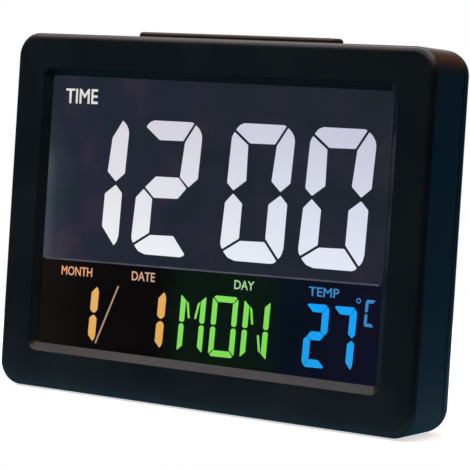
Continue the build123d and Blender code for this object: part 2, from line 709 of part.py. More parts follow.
# ---------------------------------------------------------------- power socket
USB_BOARD = (25.7, 26.9)
with BuildPart() as usb_board:
    with BuildSketch(level(USB_BOARD[0])):
        with Locations((USB_SPOT[0], REAR_INSIDE - 0.2)):
            Rectangle(12.0, 9.2, align=(Align.CENTER, Align.MAX))
    extrude(amount=thickness(USB_BOARD))
usb_board.part.label = "usb_board"
export_step(usb_board.part, "parts/usb_board.step")

with BuildPart() as usb_socket:
    with BuildSketch(behind(BODY_DEPTH - 0.8)):
        with Locations(USB_SPOT):
            RectangleRounded(7.5, 2.8, 0.8)
    extrude(amount=5.6)
    with BuildSketch(behind(BODY_DEPTH - 0.8)):
        with Locations(USB_SPOT):
            RectangleRounded(6.9, 2.2, 0.6)
            Rectangle(5.2, 0.6, mode=Mode.SUBTRACT)
    extrude(amount=4.8, mode=Mode.SUBTRACT)
usb_socket.part.label = "usb_socket"
export_step(usb_socket.part, "parts/usb_socket.step")

# ---------------------------------------------------------------- battery bay
CELL_DEPTH = BAY_FLOOR + CELL_R + 0.05
CONTACT_T = 0.3
BUTTON_T = 0.5
CONTACT_W = 9.0
SPRING_WIRE_R = 0.3
SPRING_R = 3.4
SPRING_TAPER = -14.0
SPRING_TURNS = 2.5
CELL_GAP = CONTACT_T + BUTTON_T  # between the wall and a cell's positive tip
SPRING_LENGTH = BAY_W - CELL_LENGTH - CELL_GAP - CONTACT_T

# Three cells side by side, turned end for end. The upper and lower ones have their tips on the right.
with BuildPart() as battery_cells:
    for height, tip in zip(CELL_ROWS, (1, -1, 1)):
        tip_x = tip * (BAY_W / 2 - CELL_GAP)
        with BuildSketch(across(tip_x)):
            with Locations((CELL_DEPTH, height)):
                Circle(1.9)
        extrude(amount=-tip * (CELL_NUB + 0.1))
        with BuildSketch(across(tip_x - tip * CELL_NUB)):
            with Locations((CELL_DEPTH, height)):
                Circle(CELL_R)
        extrude(amount=-tip * (CELL_LENGTH - CELL_NUB))
    rims = battery_cells.edges().filter_by(GeomType.CIRCLE).filter_by(lambda e: e.radius > CELL_R - 0.1)
    chamfer(rims, 0.4)
battery_cells.part.label = "battery_cells"
export_step(battery_cells.part, "parts/battery_cells.step")


def battery_contact(end, spring_rows, button_rows):
    """A pressed plate against one end wall of the bay, with a coil spring for each cell's flat end
    and a raised button for each tip. end is 1 for the right wall and -1 for the left."""
    rows = spring_rows + button_rows
    plate_h = max(rows) - min(rows) + CONTACT_W
    wall_x = end * BAY_W / 2
    with BuildPart() as contact:
        with BuildSketch(across(wall_x)):
            with Locations((CELL_DEPTH, sum(rows) / len(rows))):
                RectangleRounded(CONTACT_W, plate_h, 1.0)
        extrude(amount=-end * CONTACT_T)
        for height in button_rows:
            with BuildSketch(across(wall_x - end * CONTACT_T)):
                with Locations((CELL_DEPTH, height)):
                    Circle(2.0)
            extrude(amount=-end * BUTTON_T)
        for height in spring_rows:
            wire_start = across(wall_x - end * (CONTACT_T + SPRING_WIRE_R - 0.1))
            root = wire_start.from_local_coords((CELL_DEPTH, height, 0))
            rise = SPRING_LENGTH - 2 * SPRING_WIRE_R + 0.1
            with BuildLine() as coil:
                Helix(rise / SPRING_TURNS, rise, SPRING_R, root, (-end, 0, 0), SPRING_TAPER)
            with BuildSketch(Plane(coil.line @ 0, z_dir=coil.line % 0)):
                RegularPolygon(SPRING_WIRE_R, 6)
            sweep(is_frenet=True)
    return contact


negative_contact = battery_contact(-1, [CELL_ROWS[0]], [])
negative_contact.part.label = "negative_contact"
export_step(negative_contact.part, "parts/negative_contact.step")

right_link_contact = battery_contact(1, [CELL_ROWS[1]], [CELL_ROWS[0]])
right_link_contact.part.label = "right_link_contact"
export_step(right_link_contact.part, "parts/right_link_contact.step")

left_link_contact = battery_contact(-1, [CELL_ROWS[2]], [CELL_ROWS[1]])
left_link_contact.part.label = "left_link_contact"
export_step(left_link_contact.part, "parts/left_link_contact.step")

positive_contact = battery_contact(1, [], [CELL_ROWS[2]])
positive_contact.part.label = "positive_contact"
export_step(positive_contact.part, "parts/positive_contact.step")

# The door tips out about its lower edge. Two hooks below and a springy tongue above hold it shut.
with BuildPart() as battery_door:
    with BuildSketch(behind(HUMP_DEPTH)):
        with Locations((0, DOOR_MID)):
            RectangleRounded(DOOR_W, DOOR_H, 1.0)
    extrude(amount=DOOR_T)
    for x in (-HOOK_X, HOOK_X):
        with BuildSketch(across(x)):
            with BuildLine():
                Polyline(
                    (HUMP_DEPTH - DOOR_T, 13.5),
                    (HOOK_DEPTH, 13.5),
                    (HOOK_DEPTH, 11.6),
                    (HOOK_DEPTH - 1.2, 11.6),
                    (HOOK_DEPTH - 1.2, 14.9),
                    (HUMP_DEPTH - DOOR_T, 14.9),
                    close=True,
                )
            make_face()
        extrude(amount=HOOK_W / 2, both=True)
    with BuildSketch(across(0)):
        with BuildLine():
            Polyline(
                (HUMP_DEPTH - DOOR_T, 50.05),
                (34.8, 50.05),
                (34.8, 50.75),
                (35.2, 51.0),
                (36.0, 50.75),
                (HUMP_DEPTH - DOOR_T, 50.75),
                close=True,
            )
        make_face()
    extrude(amount=LATCH_W / 2, both=True)
    with BuildSketch(behind(HUMP_DEPTH)):
        with Locations(*[(0, 44.0 + 1.8 * i) for i in range(3)]):
            SlotOverall(16.0, 0.9)
    extrude(amount=0.4, mode=Mode.SUBTRACT)
battery_door.part.label = "battery_door"
export_step(battery_door.part, "parts/battery_door.step")

# ---------------------------------------------------------------- screws and feet
def pan_screws(spots, seat, head, shank, rearward=True):
    """Screws with their heads on a seat at one depth. The shanks run to the front, or to the rear
    where the heads look forward. head and shank are each a radius and a length."""
    out = -1 if rearward else 1
    with BuildPart() as screws:
        with BuildSketch(behind(seat)):
            with Locations(*spots):
                Circle(head[0])
        extrude(amount=out * head[1])
        with BuildSketch(behind(seat)):
            with Locations(*spots):
                Circle(shank[0])
        extrude(amount=-out * shank[1])
    return screws.part


board_screws = pan_screws(BOARD_SCREWS, BOARD[1], (2.0, 1.4), (0.9, 6.0))
board_screws.label = "board_screws"
export_step(board_screws, "parts/board_screws.step")

key_board_screws = pan_screws(KEY_SCREWS, KEY_BOARD[0], (1.8, 1.2), (0.8, 5.0), rearward=False)
key_board_screws.label = "key_board_screws"
export_step(key_board_screws, "parts/key_board_screws.step")

# The case screws show in their holes, so their heads have the bevelled rim and the cross.
CASE_SCREW_HEAD = (2.4, 1.8)
with BuildPart() as case_screws:
    add(pan_screws(CASE_SCREWS, SCREW_SEAT, CASE_SCREW_HEAD, (PILOT_R, 9.0)))
    chamfer(case_screws.edges().filter_by(GeomType.CIRCLE).group_by(depth_axis)[-1], 0.7)
    with BuildSketch(behind(SCREW_SEAT + CASE_SCREW_HEAD[1])):
        with Locations(*CASE_SCREWS):
            Rectangle(2.8, 0.6)
            Rectangle(0.6, 2.8)
    extrude(amount=1.1, mode=Mode.SUBTRACT)
case_screws.part.label = "case_screws"
export_step(case_screws.part, "parts/case_screws.step")

with BuildPart() as rubber_feet:
    with BuildSketch(Plane.XY):
        with Locations(*foot_places):
            Circle(FOOT_R - 0.05)
    extrude(amount=FOOT_T)
    chamfer(rubber_feet.edges().group_by(Axis.Z)[0], 0.2)
rubber_feet.part.label = "rubber_feet"
export_step(rubber_feet.part, "parts/rubber_feet.step")
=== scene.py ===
import math
import bmesh
import bpy
from mathutils import Matrix, Vector


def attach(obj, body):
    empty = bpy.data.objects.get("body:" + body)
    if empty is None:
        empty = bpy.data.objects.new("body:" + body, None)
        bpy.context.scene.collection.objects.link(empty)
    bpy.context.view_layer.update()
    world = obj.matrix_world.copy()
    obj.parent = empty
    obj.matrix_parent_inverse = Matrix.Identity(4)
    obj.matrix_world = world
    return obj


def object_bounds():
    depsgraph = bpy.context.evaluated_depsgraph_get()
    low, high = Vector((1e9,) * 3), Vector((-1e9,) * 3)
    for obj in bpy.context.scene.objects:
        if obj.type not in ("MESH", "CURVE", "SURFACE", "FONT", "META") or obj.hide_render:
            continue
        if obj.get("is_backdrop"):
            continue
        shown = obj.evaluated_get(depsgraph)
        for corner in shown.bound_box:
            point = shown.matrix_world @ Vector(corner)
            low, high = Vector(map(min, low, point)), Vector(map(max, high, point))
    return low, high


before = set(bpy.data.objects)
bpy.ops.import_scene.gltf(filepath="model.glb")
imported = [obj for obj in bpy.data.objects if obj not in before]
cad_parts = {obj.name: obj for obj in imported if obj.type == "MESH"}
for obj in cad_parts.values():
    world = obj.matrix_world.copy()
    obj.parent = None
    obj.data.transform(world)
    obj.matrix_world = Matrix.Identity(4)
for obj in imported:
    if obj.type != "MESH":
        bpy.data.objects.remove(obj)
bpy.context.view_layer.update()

# ---------------------------------------------------------------------------------------- camera
# A long lens stands 0.65 m off, to the right of the clock and nearly level with the top of its
# face. It is turned a little clockwise, and shifted down, which keeps the upright edges of the
# case nearly parallel.
eye = bpy.data.cameras.new("camera")
eye.sensor_width = 36.0
eye.lens = 170.8
eye.shift_x = -0.0042
eye.shift_y = -0.1177
camera = bpy.data.objects.new("camera", eye)
camera.location = (0.35495, -0.53583, 0.09633)
camera.rotation_euler = [math.radians(degrees) for degrees in (87.2271, -2.5385, 33.7804)]
bpy.context.scene.collection.objects.link(camera)
bpy.context.scene.camera = camera
bpy.context.scene.view_settings.view_transform = "Standard"


# ------------------------------------------------------------------------------------------ room
# The clock stands on a sheet of white card, in front of a white backdrop. The room in front of it
# is dim. One soft box hangs above it and one to the front left, so that black plastic stays black
# and its edges catch the light.
def linear(code):
    """A colour written as an sRGB hex value, as linear red, green, blue and alpha."""
    parts = [int(code[i : i + 2], 16) / 255 for i in (1, 3, 5)]
    return [p / 12.92 if p <= 0.04045 else ((p + 0.055) / 1.055) ** 2.4 for p in parts] + [1.0]


def node(tree, kind, inputs=(), stops=(), **settings):
    """Adds one node. Its inputs take a value, or another node's output as a link.

    A colour ramp also takes its stops, each a position and a hex colour.
    """
    made = tree.nodes.new("ShaderNode" + kind)
    for name, value in settings.items():
        setattr(made, name, value)
    for name, value in dict(inputs).items():
        if isinstance(value, bpy.types.NodeSocket):
            tree.links.new(value, made.inputs[name])
        else:
            made.inputs[name].default_value = value
    for _ in stops[2:]:  # a new ramp has two
        made.color_ramp.elements.new(0.5)
    for number, (position, code) in enumerate(stops):
        made.color_ramp.elements[number].position = position
        made.color_ramp.elements[number].color = linear(code)
    return made


def start_material(name):
    """A new material, and its tree without nodes."""
    material = bpy.data.materials.new(name)
    material.use_nodes = True
    material.node_tree.nodes.clear()
    return material, material.node_tree


def shown_rays(tree):
    """1 for rays that show the room, straight, in gloss or through glass, and their Light Path."""
    path = node(tree, "LightPath")
    seen = node(tree, "Math", {0: path.outputs["Is Camera Ray"],
                               1: path.outputs["Is Glossy Ray"]}, operation="ADD")
    return node(tree, "Math", {0: seen.outputs[0], 1: path.outputs["Is Transmission Ray"]},
                operation="ADD", use_clamp=True), path


CEILING_LIGHT = 2.3
DIMMEST = 0.03
BACKDROP_DIRECTION = (-0.56, 0.83, 0.0)
GLOWS = [  # direction, the cosine at which it starts, and its strength in the middle
    ((0.62, 0.6, -0.5), 0.7, 0.47),  # cool, low on the right
    ((0.1, 0.83, 0.55), 0.8, 0.26),  # warm, high up behind the clock
]
world = bpy.data.worlds.new("studio")
bpy.context.scene.world = world
world.use_nodes = True
sky = world.node_tree
sky.nodes.clear()
direction = node(sky, "TexCoord").outputs["Generated"]
# The backdrop hangs behind the clock and to its left. A wide lit ceiling hangs above, weaker right
# overhead. The rest of the room is dim, cool near the floor and warm near the ceiling.
to_backdrop = node(sky, "VectorMath", {0: direction, 1: BACKDROP_DIRECTION},
                   operation="DOT_PRODUCT")
behind_clock = node(sky, "MapRange", {"Value": to_backdrop.outputs["Value"], "From Min": 0.84,
                                      "From Max": 0.96}, interpolation_type="SMOOTHSTEP")
height = node(sky, "SeparateXYZ", {0: direction}).outputs["Z"]
ceiling = node(sky, "MapRange", {"Value": height, "From Min": 0.46, "From Max": 0.8,
                                 "To Min": DIMMEST, "To Max": CEILING_LIGHT},
               interpolation_type="SMOOTHSTEP")
overhead = node(sky, "MapRange", {"Value": height, "From Min": 0.76, "From Max": 0.86,
                                  "To Min": 1.0, "To Max": 0.36},
                interpolation_type="SMOOTHSTEP")
tint = node(sky, "ValToRGB", {"Fac": height},
            stops=[(0.0, "#2a9cd4"), (0.15, "#6fb4cc"), (0.4, "#e07c2c"), (0.6, "#f09650"),
                   (0.73, "#ffe8de"), (0.8, "#f0eff8")])
glows = []
for towards, start, middle in GLOWS:
    nearness = node(sky, "VectorMath", {0: direction, 1: towards}, operation="DOT_PRODUCT")
    glows.append(node(sky, "MapRange", {"Value": nearness.outputs["Value"], "From Min": start,
                                        "From Max": 1.0, "To Max": middle},
                      interpolation_type="SMOOTHSTEP").outputs[0])
both_glows = node(sky, "Math", {0: glows[0], 1: glows[1]}, operation="ADD")
dim_room = node(sky, "Math", {0: ceiling.outputs[0], 1: overhead.outputs[0],
                              2: both_glows.outputs[0]}, operation="MULTIPLY_ADD")
seen, path = shown_rays(sky)
seen_backdrop = node(sky, "Math", {0: seen.outputs[0], 1: behind_clock.outputs[0]},
                     operation="MULTIPLY")
white = node(sky, "Math", {0: seen_backdrop.outputs[0], 1: path.outputs["Is Camera Ray"]},
             operation="MAXIMUM")
strength = node(sky, "Mix", {"Factor": white.outputs[0], "A": dim_room.outputs[0], "B": 1.0},
                data_type="FLOAT")
colour = node(sky, "Mix", {"Factor": white.outputs[0], 6: tint.outputs[0],
                           7: linear("#ffffff")}, data_type="RGBA")
backdrop = node(sky, "Background", {"Color": colour.outputs[2],
                                    "Strength": strength.outputs[0]})
node(sky, "OutputWorld", {"Surface": backdrop.outputs[0]})

FLOOR_HALF = 0.15  # metres
FLOOR_MIDDLE = (-0.04, 0.105, -0.0001)  # just below the feet
floor_mesh = bpy.data.meshes.new("floor")
sheet = bmesh.new()
bmesh.ops.create_grid(sheet, x_segments=1, y_segments=1, size=FLOOR_HALF)
bmesh.ops.translate(sheet, verts=sheet.verts, vec=FLOOR_MIDDLE)
sheet.to_mesh(floor_mesh)
sheet.free()
floor = bpy.data.objects.new("floor", floor_mesh)
bpy.context.scene.collection.objects.link(floor)
floor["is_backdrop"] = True
# White card: matt, and pale enough to run into the backdrop, with the clock's shadow left on it.
# In glossy surfaces it shows dim and bluish, as a sheet does when seen in black plastic.
SHINE_IN_GLOSS = 0.2
GLOW_TO_CAMERA = 0.45
white_card, tree = start_material("white_card")
seen, path = shown_rays(tree)
shine = node(tree, "Math", {0: seen.outputs[0], 1: SHINE_IN_GLOSS}, operation="MULTIPLY")
glow = node(tree, "Math", {0: path.outputs["Is Camera Ray"], 1: GLOW_TO_CAMERA,
                           2: shine.outputs[0]}, operation="MULTIPLY_ADD")
sheet_colour = node(tree, "Mix", {"Factor": path.outputs["Is Glossy Ray"],
                                  6: linear("#d4d3d1"), 7: linear("#3f687c")},
                    data_type="RGBA")
glow_colour = node(tree, "Mix", {"Factor": path.outputs["Is Glossy Ray"],
                                 6: linear("#ffffff"), 7: linear("#4fa0c4")},
                   data_type="RGBA")
card = node(tree, "BsdfPrincipled", {"Base Color": sheet_colour.outputs[2], "Roughness": 0.9,
                                     "Emission Color": glow_colour.outputs[2],
                                     "Emission Strength": glow.outputs[0]})
node(tree, "OutputMaterial", {"Surface": card.outputs[0]})
floor_mesh.materials.append(white_card)

# The box in front only fills the shadows, and doesn't show in gloss.
CLOCK_MIDDLE = Vector((0.0, 0.0, 0.05))
SOFT_BOXES = {  # place, width and depth in metres, watts, whether gloss shows it
    "box_above": ((0.0, 0.1, 0.8), (1.0, 0.25), 2.0, True),
    "box_front": ((-0.3, -0.38, 0.5), (0.5, 0.35), 5.5, False),
}
for name, (place, (wide, deep), watts, in_gloss) in SOFT_BOXES.items():
    lamp = bpy.data.lights.new(name, "AREA")
    lamp.shape = "RECTANGLE"
    lamp.size = wide
    lamp.size_y = deep
    lamp.energy = watts
    box = bpy.data.objects.new(name, lamp)
    box.location = place
    box.rotation_euler = (Vector(place) - CLOCK_MIDDLE).to_track_quat("Z", "Y").to_euler()
    box.visible_glossy = in_gloss
    bpy.context.scene.collection.objects.link(box)


# -------------------------------------------------------------------------------- case mouldings
# The front bezel, the rear cover, the battery door and the snooze bar are injection moulded in
# black ABS. The steel of the mould was spark eroded, so all of them have the same fine matt grain.
# Screws from behind hold the two halves, and the door and the bar are loose mouldings.
LEAN = math.radians(2.0)
FACE_FOOT = Vector((0.0, -20.79, 0.4))  # middle of the face's lower edge, millimetres


def face_millimetres(tree):
    """Object coordinates turned to the leaning face: X across it, Y behind it and Z up it."""
    spot = Matrix.Rotation(LEAN, 3, "X") @ FACE_FOOT
    place = node(tree, "TexCoord").outputs["Object"]
    return node(tree, "Mapping", {"Vector": place, "Location": -spot, "Rotation": (LEAN, 0, 0),
                                  "Scale": (1000, 1000, 1000)}).outputs[0]


def dress(material, *names):
    """Gives CAD nodes a material."""
    for name in names:
        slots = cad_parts[name].data.materials
        slots.clear()
        slots.append(material)


CLOUD_MM = 18.0  # width of the faint patches that handling and the mould leave


def moulded_abs(name, dark, pale, rough, grain_mm=0.35, depth_mm=0.012):
    """ABS with a spark-eroded grain: a broad soft sheen, which breaks up at close range.

    The grain is about 0.1 mm in the mould, and is drawn at 0.35 mm, so that it shows.
    """
    material, tree = start_material(name)
    place = face_millimetres(tree)
    cloud = node(tree, "TexNoise", {"Vector": place, "Scale": 1 / CLOUD_MM, "Detail": 3.0})
    tint = node(tree, "ValToRGB", {"Fac": cloud.outputs[0]}, stops=[(0.3, dark), (0.7, pale)])
    grain = node(tree, "TexNoise", {"Vector": place, "Scale": 1 / grain_mm, "Detail": 2.0})
    handled = node(tree, "MapRange", {"Value": cloud.outputs[0], "From Min": 0.3,
                                      "From Max": 0.7, "To Min": rough - 0.05,
                                      "To Max": rough + 0.06})
    bump = node(tree, "Bump", {"Height": grain.outputs[0], "Strength": 0.6,
                               "Distance": depth_mm / 1000})
    shell = node(tree, "BsdfPrincipled", {"Base Color": tint.outputs[0],
                                          "Roughness": handled.outputs[0],
                                          "IOR": 1.5,
                                          "Normal": bump.outputs[0]})
    node(tree, "OutputMaterial", {"Surface": shell.outputs[0]})
    return material


KEYS = ["set", "up", "down", "alarm", "unit"]
dress(moulded_abs("spark_eroded_abs", "#0d1317", "#12191d", rough=0.32),
      "front_bezel", "rear_cover", "battery_door")
dress(moulded_abs("snooze_bar_abs", "#120f0e", "#181412", rough=0.4), "snooze_bar")
dress(moulded_abs("key_cap_abs", "#12161a", "#181c20", rough=0.38),
      *[f"{key}_button" for key in KEYS])

# ----------------------------------------------------------------------------------- rubber feet
# Four discs of black rubber, punched from sheet and stuck into the underside of the case. The
# punched sheet is dull, with a trace of dust and a fine crumb, drawn at 0.5 mm so that it shows.
foot_rubber, tree = start_material("punched_rubber")
place = node(tree, "TexCoord").outputs["Object"]
crumb = node(tree, "TexNoise", {"Vector": place, "Scale": 1 / 0.0005, "Detail": 3.0})
tint = node(tree, "ValToRGB", {"Fac": crumb.outputs[0]},
            stops=[(0.35, "#0d0d0d"), (0.75, "#262524")])
bump = node(tree, "Bump", {"Height": crumb.outputs[0], "Strength": 0.5, "Distance": 0.00003})
rubber = node(tree, "BsdfPrincipled", {"Base Color": tint.outputs[0], "Roughness": 0.85,
                                       "IOR": 1.52, "Normal": bump.outputs[0]})
node(tree, "OutputMaterial", {"Surface": rubber.outputs[0]})
dress(foot_rubber, "rubber_feet")

# ---------------------------------------------------------------------------------------- screws
# Self-tapping screws of zinc-plated steel, rolled and plated in bulk. Four hold the case halves
# from behind, four the main board and two the key board. Plating leaves a bluish grey with small
# cloudy patches of duller metal.
zinc_plate, tree = start_material("zinc_plated_steel")
place = node(tree, "TexCoord").outputs["Object"]
patches = node(tree, "TexNoise", {"Vector": place, "Scale": 1 / 0.0012, "Detail": 4.0})
tint = node(tree, "ValToRGB", {"Fac": patches.outputs[0]},
            stops=[(0.3, "#8f949a"), (0.7, "#b9bcc0")])
dull = node(tree, "MapRange", {"Value": patches.outputs[0], "From Min": 0.3, "From Max": 0.7,
                               "To Min": 0.3, "To Max": 0.48})
zinc = node(tree, "BsdfPrincipled", {"Base Color": tint.outputs[0], "Metallic": 1.0,
                                     "Roughness": dull.outputs[0]})
node(tree, "OutputMaterial", {"Surface": zinc.outputs[0]})
dress(zinc_plate, "case_screws", "board_screws", "key_board_screws")

# --------------------------------------------------------------------------- window and its tape
# The window is a plate of clear cast acrylic, 1 mm thick, dropped into the bezel from behind and
# held by a ring of thin black foam tape. It is polished, with a faint haze from handling. A low
# IOR stands in for its hard coat, which mirrors less than bare acrylic.
clear_acrylic, tree = start_material("polished_clear_acrylic")
place = face_millimetres(tree)
haze = node(tree, "TexNoise", {"Vector": place, "Scale": 1 / 25.0, "Detail": 4.0})
smear = node(tree, "MapRange", {"Value": haze.outputs[0], "From Min": 0.45, "From Max": 0.8,
                                "To Min": 0.0, "To Max": 0.05})
acrylic = node(tree, "BsdfPrincipled", {"Base Color": linear("#ffffff"), "IOR": 1.28,
                                        "Roughness": smear.outputs[0],
                                        "Transmission Weight": 1.0})
node(tree, "OutputMaterial", {"Surface": acrylic.outputs[0]})
dress(clear_acrylic, "display_lens")

# The tape is a dull black, with the small dark pits of cut foam along its edge.
foam_tape, tree = start_material("black_foam_tape")
place = node(tree, "TexCoord").outputs["Object"]
cells = node(tree, "TexVoronoi", {"Vector": place, "Scale": 1 / 0.0004})
tint = node(tree, "ValToRGB", {"Fac": cells.outputs["Distance"]},
            stops=[(0.0, "#050505"), (0.7, "#171717")])
foam = node(tree, "BsdfPrincipled", {"Base Color": tint.outputs[0], "Roughness": 0.95})
node(tree, "OutputMaterial", {"Surface": foam.outputs[0]})
dress(foam_tape, "lens_tape")

# --------------------------------------------------------------------------------- display glass
# Two sheets of soda-lime glass with liquid crystal between them, dark where no segment is on. The
# backlight leaks through the dark ground a little: most from the lamps along the left edge, less
# near its top, in faint violet and green clouds, and in the film's colours in the lower strip.
GLASS_TURN = math.radians(1.0)  # the pattern on the glass is turned this much anticlockwise
WINDOW_HALF = 58.2  # millimetres from the middle of the window to its sides
DIVIDER = (39.15, 39.65)  # heights of the line between the time and the strip
GROUNDS_MEET = (39.2, 39.7)  # heights between which the strip's ground takes over
dark_glass, tree = start_material("dark_liquid_crystal_glass")
place = face_millimetres(tree)
spot = node(tree, "SeparateXYZ", {0: place})
across = node(tree, "MapRange", {"Value": spot.outputs["X"], "From Min": -WINDOW_HALF,
                                 "From Max": WINDOW_HALF})
fading = node(tree, "MapRange", {"Value": spot.outputs["Z"], "From Min": 68.0,
                                 "From Max": 86.0, "To Max": 0.09})
from_lamps = node(tree, "Math", {0: across.outputs[0], 1: fading.outputs[0]}, operation="ADD")
time_zone = node(tree, "ValToRGB", {"Fac": from_lamps.outputs[0]},
                 stops=[(0.0, "#50585e"), (0.025, "#3a3c46"), (0.09, "#2a2b35"),
                        (0.4, "#242731"), (1.0, "#23272f")])
strip = node(tree, "ValToRGB", {"Fac": across.outputs[0]},
             stops=[(0.0, "#17120e"), (0.14, "#0d0807"), (0.36, "#0a0606"), (0.44, "#0a170d"),
                    (0.68, "#0a1710"), (0.74, "#070f1b"), (1.0, "#100f22")])
up_glass = node(tree, "VectorMath", {0: place, 1: (-math.sin(GLASS_TURN), 0.0,
                                                   math.cos(GLASS_TURN))},
                operation="DOT_PRODUCT")
below_line = node(tree, "MapRange", {"Value": up_glass.outputs["Value"],
                                     "From Min": GROUNDS_MEET[1],
                                     "From Max": GROUNDS_MEET[0]})
mottle = node(tree, "TexNoise", {"Vector": place, "Scale": 1 / 14.0, "Detail": 3.0})
cloud = node(tree, "ValToRGB", {"Fac": mottle.outputs[0]},
             stops=[(0.35, "#17303a"), (0.5, "#22253a"), (0.65, "#372a3c")])
cloud_share = node(tree, "MapRange", {"Value": spot.outputs["X"], "From Min": -WINDOW_HALF,
                                      "From Max": 0.0, "To Min": 0.45, "To Max": 0.18})
clouded = node(tree, "Mix", {"Factor": cloud_share.outputs[0], 6: time_zone.outputs[0],
                             7: cloud.outputs[0]}, data_type="RGBA")
ground = node(tree, "Mix", {"Factor": below_line.outputs[0], 6: clouded.outputs[2],
                            7: strip.outputs[0]}, data_type="RGBA")
leak = node(tree, "MapRange", {"Value": mottle.outputs[0], "From Min": 0.3, "From Max": 0.7,
                               "To Min": 0.85, "To Max": 1.15})
glass = node(tree, "BsdfPrincipled", {"Base Color": linear("#050507"), "Roughness": 0.12,
                                      "Specular IOR Level": 0.1,
                                      "Emission Color": ground.outputs[2],
                                      "Emission Strength": leak.outputs[0]})
node(tree, "OutputMaterial", {"Surface": glass.outputs[0]})
dress(dark_glass, "lcd_panel")

# ---------------------------------------------------------------------------------- lit segments
# The segments that are on let the backlight through, coloured by the film behind the glass. Each
# is a window in the liquid crystal with mitred ends, so a thin dark gap parts it from the next.
# They are drawn as thin plates on the glass. Sizes are in millimetres on the face.
FACE_AXES = Matrix(((1, 0, 0, 0),
                    (0, math.sin(LEAN), math.cos(LEAN), 0),
                    (0, math.cos(LEAN), -math.sin(LEAN), 0),
                    (0, 0, 0, 1)))  # X across the face, Y up it, Z behind it
FACE_TO_ROOM = Matrix.Scale(0.001, 4) @ Matrix.Translation(FACE_FOOT) @ FACE_AXES
FRONT_OF_SEGMENTS = 3.162  # behind the face, just above the glass
SEGMENT_THICKNESS = 0.02
SLANT = 0.052  # the figures lean to the right by this much of their height

# Corners of the segments, from the middle of a figure and without its slant. The tall figures of
# the time have segments of their own. Those of the small figures are turned over to make the rest.
SEGMENTS = {
    "top": [(-6.4, 19.3), (6.9, 19.15), (7.66, 18.83), (4.38, 13.7), (-3.88, 13.7),
            (-9.0, 17.38), (-7.9, 18.7)],
    "top_right": [(8.3, 18.42), (9.6, 17.3), (10.5, 16.0), (10.8, 14.6), (10.6, 3.1), (7.6, 0.6),
                  (4.35, 3.4), (5.04, 13.32)],
    "low_right": [(7.7, -0.35), (10.2, -2.7), (10.3, -15.0), (9.8, -16.9), (8.88, -18.02),
                  (4.05, -12.62), (4.05, -3.05)],
    "bottom": [(-4.27, -13.7), (3.84, -13.55), (8.32, -18.53), (7.8, -19.1), (6.7, -19.45),
               (-5.6, -19.4), (-8.0, -18.6), (-9.65, -16.97)],
    "low_left": [(-8.0, -0.55), (-4.7, -3.3), (-4.7, -13.07), (-10.05, -16.33), (-10.6, -15.6),
                 (-10.85, -14.4), (-10.5, -3.1)],
    "top_left": [(-9.45, 16.77), (-4.47, 13.19), (-4.05, 3.2), (-8.05, 0.3), (-10.4, 2.35),
                 (-10.2, 15.2)],
    "middle": [(-4.1, 3.2), (3.9, 3.2), (6.95, 0.3), (4.25, -2.85), (-4.15, -2.95),
               (-7.55, 0.0)],
    "small_end": [(-3.4, 8.3), (-3.1, 8.7), (2.4, 8.75), (3.0, 8.35), (1.5, 6.5), (-1.5, 6.5)],
    "small_side": [(3.15, 8.28), (3.6, 7.5), (3.72, 6.6), (3.72, 1.2), (2.8, 0.3), (1.52, 1.35),
                   (1.52, 6.4)],
    "small_bar": [(-1.6, 1.2), (1.5, 1.2), (2.72, 0.2), (1.6, -1.2), (-1.5, -1.2), (-2.72, -0.2)],
    "wide_side": [(2.8, 8.0), (3.3, 7.4), (3.66, 6.4), (3.66, 1.3), (3.0, 0.55), (2.4, 0.3),
                  (1.7, 0.6), (1.0, 1.3), (1.0, 6.2)],
    "thin_end": [(-3.4, 8.6), (3.4, 8.6), (3.9, 8.1), (2.6, 6.85), (-2.6, 6.85), (-3.9, 8.1)],
    "thin_side": [(4.2, 7.9), (4.35, 7.7), (4.35, 0.7), (3.9, 0.25), (3.1, 0.25), (2.6, 0.7),
                  (2.6, 6.5)],
    "thin_slope": [(2.42, 6.45), (1.55, 5.75), (0.75, 1.4), (1.45, 1.4)],
}
THIN_SIDES = [("thin_side", across, up) for up in (1, -1) for across in (1, -1)]
FIGURES = {
    "tall 0": [(part, 1, 1) for part in ("top", "top_right", "low_right", "bottom", "low_left",
                                         "top_left")],
    "tall 1": [(part, 1, 1) for part in ("top_right", "low_right")],
    "tall 2": [(part, 1, 1) for part in ("top", "top_right", "middle", "low_left", "bottom")],
    "1": [("wide_side", 1, 1), ("wide_side", 1, -1)],
    "2": [("small_end", 1, 1), ("small_side", 1, 1), ("small_bar", 1, 1),
          ("small_side", -1, -1), ("small_end", -1, -1)],
    "7": [("small_end", 1, 1), ("small_side", 1, 1), ("small_side", 1, -1)],
    "C": [("small_end", -1, 1), ("small_side", -1, 1), ("small_side", -1, -1),
          ("small_end", -1, -1)],
    "M": THIN_SIDES + [("thin_slope", -1, 1), ("thin_slope", 1, 1)],
    "O": THIN_SIDES + [("thin_end", 1, 1), ("thin_end", 1, -1)],
    "N": THIN_SIDES + [("thin_slope", -1, 1), ("thin_slope", 1, -1)],
}


def lit_plates(name, outlines, material, rounding):
    """One piece of thin plates on the glass, from the corners of each on the face."""
    made = bmesh.new()
    for outline in outlines:
        corners = [made.verts.new((x, y, FRONT_OF_SEGMENTS)) for x, y in outline]
        made.faces.new(corners)
        bmesh.ops.bevel(made, geom=corners, affect="VERTICES", offset=rounding, segments=3,
                        profile=0.5, material=-1)
    glass_piece(name, made, material)


